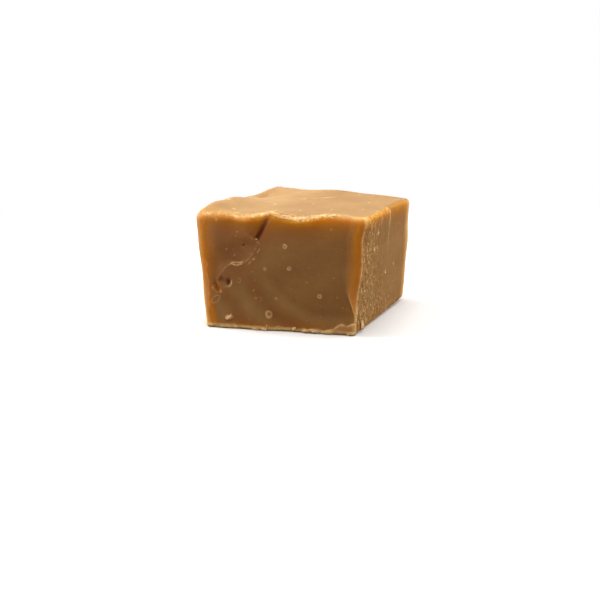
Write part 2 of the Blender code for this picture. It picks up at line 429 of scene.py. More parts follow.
def top_marks(x, y):
    """(push, pale, painted shade) on the top: how far it stands up, how far it is bleached or given painted
    light.
    """
    push = np.zeros(x.shape)
    for (cx, cy), reach, height in TOP_SWELLS:
        push += height * hump(np.hypot(x - cx, y - cy), reach)
    groove, burr = scratch(x, y)
    spots = dots(x, y, TOP_DOTS)
    flat = np.stack([x, y, np.zeros(x.shape)], axis=1)
    push += SCRATCH_DEPTH * (0.4 * burr - groove) + 0.10 * spots
    push += 0.012 * grain(flat, 1.6, 11) + 0.008 * grain(flat, 0.5, 12)
    patchy = ease(-0.6, 0.4, grain(flat, 1.1, 13))
    margin = ease(-14.6, -16.8, y) * ease(-15.0, -10.0, x) * ease(12.0, 6.0, x)
    sugared = margin * ease(-0.3, 0.6, grain(flat, 0.35, 14))
    push += 0.03 * sugared
    # Towards the left the top is made paler: painted light, so that its sloping left part looks as bright as
    # the middle.
    pale = 0.75 * burr * patchy + 0.8 * spots + 0.15 * ease(2.0, -12.0, x) + 0.3 * sugared
    # The scratch's groove gets painted shade.
    return push, pale, 0.3 * groove


print("top marks span", span(top_marks, HALF[0], -HALF[1], HALF[1]), "mm")

# %% [markdown]
# The front
#
# The front carries the clearest marks: a blind cleft under the rim, a fold that goes on from it in a thin
# lip, two torn holes, ripples where the blade shuddered, a strip dragged round the left edge, a lip along
# the right edge and a smear at its foot. Each is a small function that gives a push and its colours.

# %% Front: places
RIPPLE_CENTRE, RIPPLE_CREST, RIPPLE_LENGTH, RIPPLE_HEIGHT = (12.0, 20.0), 18.7, 6.3, 0.11
RIPPLE_START, RIPPLE_OLIVE = (14.5, 17.5), 17.3
LIP_X, LIP_HEIGHT, LIP_BEND, LIP_END = 14.9, 0.45, 9.0, (16.9, 3.6)
CLEFT_MOUTH, CLEFT_END, CLEFT_DEPTH = (-1.3, 24.0), (-4.8, 18.7), 0.42
CLEFT_FLANK, CLEFT_WALL, CLEFT_SHADE = 1.6, 0.95, 0.95
FOLD = [
    (-4.3, 18.5), (-4.7, 17.2), (-5.4, 15.9), (-6.4, 14.8), (-7.5, 13.8),
    (-8.9, 13.4), (-10.3, 13.7), (-11.6, 12.9), (-12.7, 11.5), (-13.6, 10.4),
]
FOLD_DEPTH, FOLD_REACH, FOLD_LIP, FOLD_BRIGHTEST = 0.14, 5.5, 0.1, 0.56
SECOND_FOLD = [(-7.2, 14.3), (-8.3, 13.95), (-9.9, 13.95), (-10.8, 13.2)]
TORN_HOLES = [
    # Middle, half width, half height, tilt in degrees, depth, painted shade.
    ((-12.0, 9.9), 2.0, 1.2, 5.0, 0.25, 0.2),
    ((-11.0, 9.7), 0.8, 0.8, -35.0, 0.4, 0.65),
    ((-13.8, 8.5), 0.8, 1.1, 30.0, 0.4, 0.5),
    ((-7.4, 17.5), 0.35, 0.4, 0.0, 0.25, 0.3),
]
TORN_LIPS = [
    # Path and strength.
    ([(-13.5, 10.7), (-13.7, 9.9), (-13.7, 9.2)], 0.45),
    ([(-13.8, 9.0), (-13.3, 8.1), (-12.7, 7.5)], 1.0),
    ([(-14.9, 8.0), (-14.65, 8.7), (-14.15, 9.1)], 0.6),
    ([(-10.35, 10.2), (-10.2, 9.7), (-10.45, 9.2), (-10.9, 8.9)], 0.65),
    ([(-9.1, 10.1), (-8.7, 9.75), (-8.2, 10.0), (-8.3, 10.6), (-8.8, 10.7)], 0.35),
]
# Middle, half width, half height and tilt of a healed scar and of a chip of pale crust.
SCAR = ((-14.2, 6.0), 1.05, 0.55, 38.0)
CHIP = ((-11.2, 2.4), 0.95, 0.5, 12.0)
STRIP = [
    (-15.0, 24.0), (-15.8, 21.9), (-17.0, 19.6), (-16.7, 15.2), (-16.2, 14.2), (-15.6, 13.4), (-16.1, 12.2),
    (-15.4, 9.6), (-15.7, 6.5), (-15.5, 4.6), (-15.9, 3.0), (-15.6, 1.4), (-15.3, 0.0),
]
STRIP_HEIGHT, STRIP_LEAST, FOOT_LIP = 0.05, -16.5, 0.3
SMEAR = [
    (-14, 0.5), (-7, 0.3), (-5.5, 0.55), (-1.8, 0.5), (-1, 0.25), (5.2, 0.25), (5.9, 0.8), (8.8, 0.75),
    (9.6, 0.2), (11.2, 1.0), (12.2, 1.2), (13.8, 2.3), (15.2, 2.0), (16.6, 2.6),
]
SMEAR_HEIGHT = 0.22
FRONT_BUBBLES = [(-2.0, 3.4, 0.85), (9.0, 7.9, 0.5), (2.5, 13.3, 0.46), (1.5, 17.7, 0.5)]
FRONT_DOTS = [
    (-13.0, 22.5, 0.3), (-8.7, 20.3, 0.2), (-11.1, 16.6, 0.22), (-9.5, 15.4, 0.22), (0.5, 13.8, 0.12),
    (6.2, 10.6, 0.18), (11.7, 11.8, 0.15), (-5.4, 8.3, 0.22), (-4.9, 6.7, 0.26), (14.0, 5.7, 0.15),
    (-5.6, 12.2, 0.16), (3.9, 8.5, 0.12), (10.7, 21.4, 0.2), (12.7, 7.8, 0.18), (-2.8, 12.9, 0.42),
    (-0.4, 6.9, 0.3), (14.8, 5.5, 0.15), (-3.8, 6.8, 0.15), (-3.7, 6.3, 0.12), (-5.1, 14.8, 0.2),
]
FRONT_DOTS += small_bubbles(60, 15.5, (1.0, 22.5), 0.05, 0.13, 21)
print("front", len(FRONT_BUBBLES), "bubbles", len(FRONT_DOTS), "dots", len(TORN_HOLES), "holes")

# %% Front: cleft and fold


def cleft(x, z):
    """(gap, painted shade of its bottom, long flank) of a V that gets narrower and deeper, down to a blind
    end.
    """
    along, right = beside(x, z, CLEFT_MOUTH, CLEFT_END)
    narrowing = 1 - 0.55 * np.clip(along, 0, 1)
    flank = np.exp(-np.abs(right) / CLEFT_FLANK / narrowing)
    gap = np.where(right > 0, flank, ease(-CLEFT_WALL, 0.0, right))
    deepening = (0.35 + 0.65 * ease(0.0, 0.85, along)) * ease(-0.3, 0.1, along) * ease(1.03, 0.97, along)
    # The bottom of the cleft and its steep wall get painted shade.
    painted_cleft_shade = hump(np.clip(right - 0.1, 0, None), CLEFT_SHADE * narrowing)
    painted_cleft_shade *= ease(-1.5 * CLEFT_WALL, -0.3 * CLEFT_WALL, right)
    painted_cleft_shade *= (0.3 + 0.7 * ease(0.0, 0.8, along)) * ease(-0.05, 0.1, along) * ease(1.02, 0.98, along)
    return gap * deepening, painted_cleft_shade, flank * deepening * (right > -0.2)


def fold(x, z, uneven):
    """(sunk, lip): the upper left of the face lies lower, behind a thin broken lip."""
    side, passed = beside_path(x, z, FOLD)
    side = -side + 0.12 * uneven
    strength = 0.25 + 0.75 * hump(passed - FOLD_BRIGHTEST, 0.12) + 0.8 * hump(passed, 0.03)
    softness = 2.2 - 1.8 * np.clip(strength, 0, 1)
    behind = ease(0.2 * softness, -softness, side) * ease(-FOLD_REACH, -2.0, side)
    sunk = behind * ease(0.0, 0.12, passed) * ease(-15.4, -13.0, x)
    patchy = ease(-0.5, 0.5, grain(np.stack([x, 0 * x, z], axis=1), 0.5, 36))
    thin = strength * hump(side - 0.05, 0.13) * (0.2 + 0.8 * patchy)
    torn_edge = 0.4 * hump(side - 0.75, 0.15) * ease(0.0, 0.05, passed) * ease(0.45, 0.35, passed) * patchy
    away, part = beside_path(x, z, SECOND_FOLD)
    second = hump(away + 0.1 * uneven, 0.13) * ease(0.0, 0.3, part) * ease(1.0, 0.7, part)
    return sunk, np.maximum.reduce([thin, torn_edge, second * (0.5 + 0.5 * patchy)])


print("cleft", round(float(np.hypot(*np.subtract(CLEFT_MOUTH, CLEFT_END))), 1), "mm long")

# %% Front: torn holes and strips


def oval(x, z, centre, half_width, half_height, tilt):
    """1 on an oval's outline, less inside and more outside."""
    turn = np.radians(tilt)
    u = ((x - centre[0]) * np.cos(turn) + (z - centre[1]) * np.sin(turn)) / half_width
    v = ((z - centre[1]) * np.cos(turn) - (x - centre[0]) * np.sin(turn)) / half_height
    return np.hypot(u, v)


def torn_holes(x, z, uneven):
    """(depth, painted shade, lips) of the ragged holes beside the left edge."""
    depth, shade, lips = np.zeros((3,) + x.shape)
    for *shape, deepest, darkest in TORN_HOLES:
        hole = ease(1.15, 0.2, oval(x, z, *shape) + 0.25 * uneven)
        depth += deepest * hole
        shade = np.maximum(shade, darkest * ease(0.0, 0.6, hole))
    for path, strength in TORN_LIPS:
        side, passed = beside_path(x, z, path)
        ends = ease(-0.1, 0.2, passed) * ease(1.1, 0.8, passed)
        lips = np.maximum(lips, strength * hump(side, 0.12) * ends)
    lips = np.maximum(lips, 0.38 * hump(oval(x, z, *SCAR) - 1 + 0.15 * uneven, 0.16))
    return depth, shade, lips


def lip_inner(z):
    """Where the lip along the right edge starts, for each height."""
    slant = (LIP_BEND - np.clip(z, LIP_END[1], LIP_BEND)) / (LIP_BEND - LIP_END[1])
    return LIP_X + (LIP_END[0] - LIP_X) * slant


def knife_lip(x, z):
    """The strip along the right edge that stands out from the face."""
    soft = 1.3 - 1.0 * ease(LIP_BEND + 3, LIP_BEND - 2, z)
    return ease(-soft, soft, x - lip_inner(z)) * ease(LIP_END[1] - 1.5, LIP_END[1] + 1, z)


print("knife lip", round(HALF[0] - lip_inner(HEIGHT), 1), "mm wide at the top")

# %% Front: all of it


def strip_edge(x, z):
    """Where the strip dragged round the left edge ends, for each height."""
    places = np.stack([x, np.zeros(x.shape), z], axis=1)
    edges, heights = zip(*reversed(STRIP))
    return np.maximum(np.interp(z, heights, edges) + 0.25 * grain(places, 0.9, 31), STRIP_LEAST)


def front_marks(x, z):
    """(push, pale, deep) on the front."""
    flat = np.stack([x, np.zeros(x.shape), z], axis=1)
    uneven = grain(flat, 0.9, 31)
    arc = np.hypot(x - RIPPLE_CENTRE[0], z - RIPPLE_CENTRE[1])
    push = np.cos(2 * np.pi * (arc - RIPPLE_CREST) / RIPPLE_LENGTH)
    push *= RIPPLE_HEIGHT * ease(*RIPPLE_START, arc)

    gap, painted_cleft_shade, _ = cleft(x, z)
    sunk, lip = fold(x, z, uneven)
    depth, shade, lips = torn_holes(x, z, uneven)
    push += FOLD_LIP * lip - CLEFT_DEPTH * gap - FOLD_DEPTH * sunk - depth + 0.06 * lips
    push += LIP_HEIGHT * knife_lip(x, z)

    from_strip = x - strip_edge(x, z)
    push += STRIP_HEIGHT * ease(0.25, -0.25, from_strip)
    push += FOOT_LIP * hump(z - 0.4, 0.35) * ease(-0.9, 0.3, uneven)
    smear_edge = np.interp(x, *zip(*SMEAR), left=-1.0) + 0.22 * grain(flat, 0.55, 32)
    push += SMEAR_HEIGHT * ease(0.12, -0.12, z - smear_edge) * ease(0.2, 1.2, smear_edge)
    chip = ease(1.2, 0.8, oval(x, z, *CHIP) + 0.45 * grain(flat, 0.4, 35))
    push += 0.16 * chip

    pits, rings = bubbles(x, z, FRONT_BUBBLES)
    spots = dots(x, z, FRONT_DOTS)
    push += 0.07 * rings - 0.16 * pits + 0.03 * spots + 0.012 * grain(flat, 0.45, 33)

    broken = ease(-0.7, 0.5, grain(flat, 0.6, 34))
    pale = 0.8 * rings + 0.5 * spots + 0.95 * lip + (0.7 + 0.3 * broken) * lips + 0.5 * chip
    pale += 0.25 * hump(from_strip, 0.15) * broken
    pale += (0.1 + 0.16 * ease(13.0, 6.0, z)) * ease(0.12, -0.12, from_strip)
    over_rim = ease(1.05, 0.85, HEIGHT - z + 0.25 * uneven) * ease(-4.0, -8.0, x)
    lip_edge = hump(x - lip_inner(z) + 0.1 * uneven, 0.16) * ease(9.5, 7.5, z) * ease(2.5, 3.5, z)
    pale += (0.2 + 0.15 * broken) * over_rim + 0.25 * knife_lip(x, z) * ease(13.0, 4.0, z) + 0.35 * lip_edge
    pale += 0.5 * hump(z - smear_edge, 0.17) * broken + 0.25 * ease(0.1, -0.1, z - smear_edge)
    # A pale line along the foot is painted light, for the light that the lower edge catches from below.
    pale += 0.5 * ease(1.1, 0.75, z + 0.25 * uneven) * (0.6 + 0.4 * broken)
    # Painted shade in the cleft, the torn holes and the pits of the bubbles.
    deep = 0.9 * painted_cleft_shade + 0.2 * ease(0.1, 0.8, gap) + shade + 0.8 * pits
    return push, pale, deep


print("front marks span", span(front_marks, HALF[0], 0, HEIGHT), "mm")

# %% [markdown]
# The right side
#
# The knife went down here in two goes: the front half stands a little proud, up to a torn line. Its front
# and lower parts dragged on the blade, which pulled up rows of tiny crumbs, while the upper back part is
# smooth. Grain that is stretched along the way of the knife gives the rows.

# %% Right marks
STEP_TOP, STEP_LOW, STEP_HEIGHT = (-2.3, 24.0), (0.6, 13.0), 0.45
RIGHT_DOTS = [(-10.0, 19.9, 0.4), (-11.3, 16.8, 0.35), (-9.6, 17.0, 0.3)]
RIGHT_DOTS += [(4.8, 10.9, 0.35), (-1.2, 10.2, 0.35)]
RIGHT_DOTS += small_bubbles(110, 16.5, (1.0, 22.5), 0.07, 0.2, 41)


def drag(y, z):
    """How rough the cut is: most at the front edge and near the base, least at the upper back."""
    front = ease(-3.0, -14.0, y + 2.0 * np.sin(z / 2.3))
    low = ease(12.0, 3.0, z + 0.15 * y) * ease(12.0, -4.0, y)
    return np.clip(0.12 + 0.85 * np.maximum(front, low), 0, 1)


def right_marks(y, z):
    """(push, pale, deep) on the right side."""
    flat = np.stack([np.zeros(y.shape), y, z], axis=1)
    along, right = beside(y, z, STEP_TOP, STEP_LOW)
    right = right + 0.35 * grain(flat, 1.3, 42)
    push = STEP_HEIGHT * ease(-0.1, 0.1, right) * ease(1.0, 0.2, along)
    patchy = ease(-0.5, 0.3, grain(flat, 0.7, 47))
    torn = 1.4 * hump(right - 0.2, 0.17) * ease(1.0, 0.05, along) * ease(-0.2, 0.0, along) * patchy

    rough = drag(y, z)
    rows = grain(flat * [1, 1, 0.6], 0.5, 43)
    crumbly = grain(flat, 0.3, 44)
    bristles = grain(flat * [1, 1, 0.12], 0.34, 46) * ease(20.5, 22.5, z) * ease(-0.6, 0.6, right)
    spots = dots(y, z, RIGHT_DOTS)
    by_edge = ease(-11.0, -15.0, y)
    push += 0.09 * (rough * (rows + crumbly) + bristles) + 0.04 * torn + 0.03 * grain(flat, 2.2, 45)
    push += 0.08 * spots + 0.07 * by_edge * rows

    net = rows + 0.8 * crumbly
    pale = 0.7 * torn + 0.7 * spots + (0.45 * rough + 0.18 * by_edge) * ease(0.4, 1.1, net)
    # Towards the back edge the side is made paler: painted light, for the rim of light along that edge.
    pale += 0.18 * np.clip(bristles, 0, 1) + 0.5 * ease(12.5, 16.0, y)
    # Painted shade in the low parts between the rows of crumbs.
    deep = (0.28 * rough + 0.15 * by_edge) * ease(0.0, -0.8, net)
    return push, pale, deep


print("right marks span", span(right_marks, HALF[1], 0, HEIGHT), "mm")

# %% [markdown]
# The left side and the back
#
# These are cut sides too, with faint level lines, a few bubbles and, lower down, rough spots. One function
# serves both, each with its own random draw.

# %% Left and back marks
LEFT_BULGE = (-0.3, 1.7)
LEFT_BUBBLES = small_bubbles(45, 16.0, (1.5, 22.0), 0.12, 0.55, 51)
BACK_BUBBLES = small_bubbles(45, 15.5, (1.5, 22.0), 0.12, 0.55, 52)


def plain_cut(a, z, spots, seed):
    """(push, pale, deep) on a cut side with no marks of its own."""
    flat = np.stack([a, np.zeros(a.shape), z], axis=1)
    lines = grain(flat * [0.25, 1, 1] + 0.8 * grain(flat, 9.0, seed)[:, None], 1.3, seed + 1)
    crumbly = grain(flat * [1, 1, 0.6], 0.32, seed + 2)
    rough = ease(0.1, 0.8, grain(flat, 7.0, seed + 3)) * ease(20.0, 8.0, z)
    pits, rings = bubbles(a, z, spots)
    push = 0.05 * lines + 0.06 * rough * crumbly + 0.10 * rings - 0.2 * pits
    pale = 0.7 * rings + 0.6 * rough * ease(0.3, 0.8, crumbly)
    # The pits of the bubbles get painted shade.
    return push, pale, 0.5 * pits


def left_marks(y, z):
    """(push, pale, deep) on the left side."""
    return plain_cut(y, z, LEFT_BUBBLES, 61)


def back_marks(x, z):
    """(push, pale, deep) on the back."""
    return plain_cut(x, z, BACK_BUBBLES, 71)


def left_bulge(z):
    """How far the left side stands out: it leans out towards the top."""
    return LEFT_BULGE[0] + (LEFT_BULGE[1] - LEFT_BULGE[0]) * z / HEIGHT


print("left marks span", span(left_marks, HALF[1], 0, HEIGHT), "mm")

# %% [markdown]
# Putting the sides together
#
# Each point faces some way. The squares of that direction's X, Y and Z add up to one, so they share a point
# out between the sides that meet there, and the marks of two sides blend over a rounded edge.

# %% Marks of all sides
RAGGED_RIM, LEAST_SHARE = (-5.5, 8.5), 0.01
RIDGE_WAVES = [(19.5, 1.8, -0.3), (23.0, 1.2, 0.2), (14.0, 2.0, 0.12), (8.0, 2.5, -0.15)]


def ridge_waves(plain):
    """How far the edge between front and right side wanders along X."""
    x, y, z = from_base(plain)
    from_edge = np.hypot(y + HALF[1], x - HALF[0])
    return sum(height * hump(z - at, reach) for at, reach, height in RIDGE_WAVES) * hump(from_edge, 2.0)


def rim_crumble(plain):
    """How crumbly the edge is: the front rim most, the rim of the right side less."""
    x, y, z = from_base(plain)
    front = np.hypot(y + HALF[1], 1.5 * (z - HEIGHT))
    right = np.hypot(x - HALF[0], z - HEIGHT)
    ragged = ease(RAGGED_RIM[0] - 1.5, RAGGED_RIM[0], x) * ease(RAGGED_RIM[1] + 5, RAGGED_RIM[1], x)
    ragged = np.maximum(0.18 + 0.82 * ragged, 0.36 * ease(-6.0, -8.0, x))
    return np.maximum(ragged * hump(front, 0.9), 0.27 * hump(right, 0.9) * ease(0.0, -3.0, y))


def all_marks(plain, facing):
    """(push, pale, deep) for every point, whichever side it is on."""
    x, y, z = from_base(plain)
    towards, against = side_shares(facing)
    sides = [
        (against[:, 1], front_marks, x, z),
        (towards[:, 0], right_marks, y, z),
        (towards[:, 2], top_marks, x, y),
        (against[:, 0], left_marks, y, z),
        (towards[:, 1], back_marks, x, z),
    ]
    total = np.zeros((3, len(plain)))
    for share, marks, a, b in sides:
        here = share > LEAST_SHARE
        total[:, here] += share[here] * np.array(marks(a[here], b[here]))
    total[0] += against[:, 0] * left_bulge(z) + (1 - against[:, 2]) * swell(plain)

    crumble = rim_crumble(plain)
    lumps = grain(plain, 0.42, 81) + 0.6 * grain(plain, 0.22, 82)
    ridge_width = 0.2 + 0.2 * ease(7.0, 2.0, z) + 0.12 * ease(20.0, 23.0, z)
    ridge = hump(np.hypot(x - HALF[0], y + HALF[1]), ridge_width)
    from_rim = np.hypot(y + HALF[1], z - HEIGHT)
    sharper = hump(from_rim, 1.0) * ease(-17.0, -14.0, x) * ease(-3.0, -6.0, x)
    # The right end of the front rim, with few crumbs, gets a painted glow.
    painted_rim_glow = hump(from_rim, 1.1) * ease(9.0, 12.5, x)
    total[0] += 0.035 * crumble * lumps + 0.10 * ridge * (0.7 + lumps) + 0.4 * sharper
    total[1] += 0.7 * ease(0.3, 0.65, crumble + 0.3 * lumps) + 0.5 * crumble * ease(-0.1, 0.6, lumps)
    total[1] += 0.6 * ridge + 0.3 * painted_rim_glow
    return total


print("crumble in the middle of the front rim", rim_crumble(HALF * [[0, -1, 1]]).round(2))

# %% The worn block


def rounded(unit):
    """(plain, facing, place) of points of a cube from -1 to 1, before any mark."""
    values = corner_values(unit)
    drift, radius = values[:, :3], values[:, 3:]
    plain = unit * HALF
    inner = np.clip(plain, radius - HALF, HALF - radius)
    away = plain - inner
    facing = away / np.linalg.norm(away, axis=1, keepdims=True)
    place = inner + radius * facing + drift + np.array([0, 0, HALF[2]]) - MIDDLE
    return plain, facing, place


def worn_block(unit):
    """Moves the points of a cube from -1 to 1 onto the fudge. Returns their places in millimetres."""
    plain, facing, place = rounded(unit)
    place += facing * all_marks(plain, facing)[0][:, None]
    place[:, 0] += ridge_waves(plain)
    place[:, 2] = np.maximum(place[:, 2] + rim_waves(plain), 0)
    return place


for unit, place in zip(CORNERS, worn_block(np.array(list(CORNERS), float))):
    print("corner", unit, "at", place.round(1))

# %% [markdown]
# From cube to mesh
#
# A cube is subdivided without smoothing, to squares under 0.15 mm wide. Its points are moved, and a Decimate
# modifier then takes out points where the surface is calm. Fine detail stays only where there is a mark.
# Each point remembers where it was on the cube, so that colours can be worked out afterwards.

# %% Build the block
FINE_LEVELS = 8
FINE_TRIANGLES = 190000


def read_vectors(data, field):
    """The vectors of a mesh's points or of an attribute, as an array."""
    flat = np.empty(len(data) * 3)
    data.foreach_get(field, flat)
    return flat.reshape(-1, 3)


def apply_modifiers(piece):
    """Gives a piece the mesh that its modifiers make of it, and takes the modifiers off."""
    before = piece.data
    made = bpy.data.meshes.new_from_object(piece.evaluated_get(bpy.context.evaluated_depsgraph_get()))
    piece.modifiers.clear()
    piece.data = made
    bpy.data.meshes.remove(before)
    made.name = piece.name


bm = bmesh.new()
bmesh.ops.create_cube(bm, size=2.0)
block = new_object("fudge_block", bm)
finer = block.modifiers.new("Finer", "SUBSURF")
finer.subdivision_type = "SIMPLE"
finer.levels = finer.render_levels = FINE_LEVELS
apply_modifiers(block)

unit = read_vectors(block.data.vertices, "co")
block.data.attributes.new("cube_place", "FLOAT_VECTOR", "POINT").data.foreach_set("vector", unit.ravel())
block.data.vertices.foreach_set("co", (worn_block(unit) * MM).ravel())
thin_out = block.modifiers.new("Fewer points", "DECIMATE")
thin_out.ratio = FINE_TRIANGLES / (2 * len(block.data.polygons))
apply_modifiers(block)
block.data.shade_smooth()
print("block", len(block.data.vertices), "points", len(block.data.polygons), "faces")

# %% [markdown]
# Where each colour goes
#
# Six masks are stored on the points. Skin marks the poured top. Painted glow grows towards the edges: it is
# light shining through them, painted into the colour. Pale is sugar bruised by the knife, and in a few
# places painted light. Painted shade darkens holes, pits, grooves and the cleft. Warm tells the redder upper
# left of the cut from the olive brown of the rest, and is painted shade on the ripples' downward flanks.
# Rough is where the right side tore.

# %% Masks: painted glow
# Where the painted glow beside the left edge starts, from the foot up.
STRIP_INNER = [
    (-14.3, 0.0), (-14.8, 3.0), (-15.5, 6.0), (-15.9, 10.0), (-16.4, 15.0), (-16.7, 20.0), (-15.0, 24.0),
]


def painted_edge_glow(plain, facing):
    """Painted glow for light through thin edges: most under the top rim, at the left edge and on the right
    lip.
    """
    x, y, z = from_base(plain)
    towards, against = side_shares(facing)
    under_rim = np.exp(-(((HEIGHT - z) / 3.1) ** 1.6))
    under_rim *= 0.87 + 0.13 * ease(-9.0, -3.0, x) - 0.15 * ease(10.0, 15.0, x)
    from_left, from_right, from_front, from_back = x + HALF[0], HALF[0] - x, y + HALF[1], HALF[1] - y
    at_foot = np.exp(-z / 1.1)
    inner_x, inner_z = zip(*STRIP_INNER)
    from_strip = np.clip(x - np.interp(z, inner_z, inner_x), 0, None)
    inside_strip = 0.76 * np.exp(-((from_strip / (0.9 + 1.6 * ease(6.0, 17.0, z))) ** 1.5))
    inside_strip *= 0.92 + 0.08 * ease(6.0, 16.0, z)
    hole = ease(1.7, 0.6, oval(x, z, *TORN_HOLES[2][:4]))
    flank = 0.66 * ease(0.02, 0.55, cleft(x, z)[2])
    low_corner = 0.45 * np.exp(-z / 2.2) * ease(11.5, 15.5, x)
    lip = (0.58 + 0.17 * ease(12.0, 20.0, z)) * knife_lip(x, z)
    front = np.maximum.reduce([under_rim, inside_strip, lip, at_foot, 0.65 * hole, flank, low_corner])
    ragged_depth = np.clip(HEIGHT - z + 0.35 * grain(plain * [1, 1, 0.25], 0.5, 91), 0, None)
    band = np.exp(-((ragged_depth / (1.9 + 0.8 * ease(-3.0, 2.0, y))) ** 2.2))
    at_corner = np.exp(-((np.clip(from_back - 1.0, 0, None) / 2.4) ** 2))
    right = np.maximum.reduce([0.75 * band, at_corner, 0.4 * at_foot])
    ends_x, ends_y = np.minimum(from_left, from_right), np.minimum(from_front, from_back)
    left, back, base = [
        np.maximum.reduce([0.9 * under_rim, 0.8 * np.exp(-((ends / 1.6) ** 1.3)), at_foot])
        for ends in (ends_y, ends_x, np.minimum(ends_x, ends_y))
    ]
    total = against[:, 1] * front + towards[:, 0] * right + against[:, 0] * left + towards[:, 1] * back
    top = np.maximum(0.25 * np.exp(-np.minimum(ends_x, ends_y) / 0.8), 0.7 * hump(from_right, 1.6))
    top = np.maximum(top, 0.78 * hump(from_front, 3.0) * ease(0.0, -6.0, x))
    return total + against[:, 2] * base + towards[:, 2] * top


print("the glow beside the left edge follows", len(STRIP_INNER), "points")

# %% Masks: skin and warmth


def skin_cover(plain, facing):
    """The poured skin, and where the knife smeared it over the left edge and the front rim."""
    x, y, z = from_base(plain)
    against = side_shares(facing)[1]
    strip = (0.08 + 0.42 * ease(13.0, 6.0, z)) * ease(0.15, -0.15, x - strip_edge(x, z))
    rim = ease(1.05, 0.8, HEIGHT - z + 0.25 * grain(plain, 0.8, 93)) * ease(-4.0, -8.0, x)
    smeared = against[:, 1] * np.maximum(strip, 0.3 * rim) + 0.5 * against[:, 0]
    lowest = 0.45 + 0.25 * ease(0.1, 0.5, facing[:, 0])
    # Near the front of the left part the skin is thinned, so that the painted glow shows through.
    painted_glow_on_skin = 0.3 * hump(y + HALF[1], 3.0) * ease(0.0, -6.0, x)
    return np.maximum(ease(lowest, 0.95, facing[:, 2]) * (1 - painted_glow_on_skin), smeared)


def warmth_and_ripple_shade(plain, facing):
    """Redder where the fold lies lower, a tone of the cut itself, and on the ripples' downward flanks, as
    painted shade.
    """
    x, _, z = from_base(plain)
    # The ripple part is painted shade: it reddens and darkens the flanks of the ripples that face down.
    arc = np.hypot(x - RIPPLE_CENTRE[0], z - RIPPLE_CENTRE[1])
    ripple = 0.5 - 0.5 * np.cos(2 * np.pi * (arc - RIPPLE_OLIVE) / RIPPLE_LENGTH)
    upper_left = ease(-2.0, -8.0, x + 0.6 * (12 - z)) * ease(6.0, 12.0, z)
    rippled = ease(14.0, 18.0, arc)
    front = np.maximum(0.9 * upper_left, 0.45 * (1 - rippled) + (0.15 + 0.7 * ripple) * rippled)
    other = 0.36 + 0.25 * grain(plain, 6.0, 92)
    return front * np.clip(-facing[:, 1], 0, 1) + other * np.clip(1 - np.abs(facing[:, 1]), 0, 1)


def store(mesh, name, values):
    """Keeps a mask on the points of a mesh, between 0 and 1."""
    values = np.clip(values, 0, 1).astype(np.float32)
    mesh.attributes.new(name, "FLOAT", "POINT").data.foreach_set("value", values)
    print("mask", name, "mean", round(float(values.mean()), 3))


# %% Masks: stored on the points
unit = read_vectors(block.data.attributes["cube_place"].data, "vector")
unit /= np.abs(unit).max(axis=1, keepdims=True)
block.data.attributes.remove(block.data.attributes["cube_place"])
plain, facing, _ = rounded(unit)
_, y, z = from_base(plain)
_, pale, deep = all_marks(plain, facing)
# Painted light and shade are stored here too: the painted glow, parts of pale, the painted shade and the
# ripple part of warm.
store(block.data, "skin", skin_cover(plain, facing))
store(block.data, "amber", painted_edge_glow(plain, facing))
store(block.data, "pale", pale)
store(block.data, "deep", deep)
store(block.data, "warm", warmth_and_ripple_shade(plain, facing))
store(block.data, "rough", side_shares(facing)[0][:, 0] * drag(y, z))

# %% [markdown]
# The colour of fudge
#
# The block, its crumbs and its shavings are one food, so they share a node group. It takes the masks and
# gives one colour. Over the brown of a fresh cut it lays a redder brown, which on the ripples is painted
# shade, a painted amber glow for light that shines through thin edges, which turns to honey where they are
# thinnest, the tan of the skin, bleached sugar that in places is painted light, and the painted shade of
# holes. A slow noise then makes the colour a little uneven.

# %% Fudge colour group
# The redder brown is partly painted shade. Amber and honey are painted glow, the pale colour is bruised
# sugar and painted light, and the darkest one is painted shade.
BROWN, WARM_AND_SHADED_BROWN = (0.40, 0.22, 0.070, 1), (0.35, 0.15, 0.045, 1)
PAINTED_GLOW_AMBER, PAINTED_GLOW_HONEY, SKIN = (0.58, 0.185, 0.002, 1), (0.84, 0.40, 0.0, 1), (0.40, 0.217, 0.083, 1)
PALE_AND_PAINTED_LIGHT, PAINTED_SHADE_COLOUR = (1.0, 0.62, 0.29, 1), (0.19, 0.04, 0.004, 1)


def new_group(name, inputs, outputs):
    """A node group with float inputs and the outputs given as (name, kind)."""
    group = bpy.data.node_groups.new(name, "ShaderNodeTree")
    for label in inputs:
        group.interface.new_socket(label, in_out="INPUT", socket_type="NodeSocketFloat")
    for label, kind in outputs:
        group.interface.new_socket(label, in_out="OUTPUT", socket_type="NodeSocket" + kind)
    return group, group.nodes.new("NodeGroupInput"), group.nodes.new("NodeGroupOutput")


def lay_over(tree, below, colour, mask):
    """Lays a colour over another where a mask says so, and returns the result."""
    mix = new_node(tree, "Mix", mask, data_type="RGBA")
    feed(tree, below, mix.inputs[6])
    feed(tree, colour, mix.inputs[7])
    return mix.outputs[2]


def noise(tree, per_mm, detail):
    """Noise on Object coordinates, with about per_mm bumps in a millimetre."""
    where = new_node(tree, "TexCoord").outputs["Object"]
    return new_node(tree, "TexNoise", where, Scale=per_mm / MM, Detail=detail).outputs["Fac"]


def math(tree, operation, *values):
    """The result of a Math node, worked out from outputs or numbers."""
    return new_node(tree, "Math", *values, operation=operation).outputs[0]


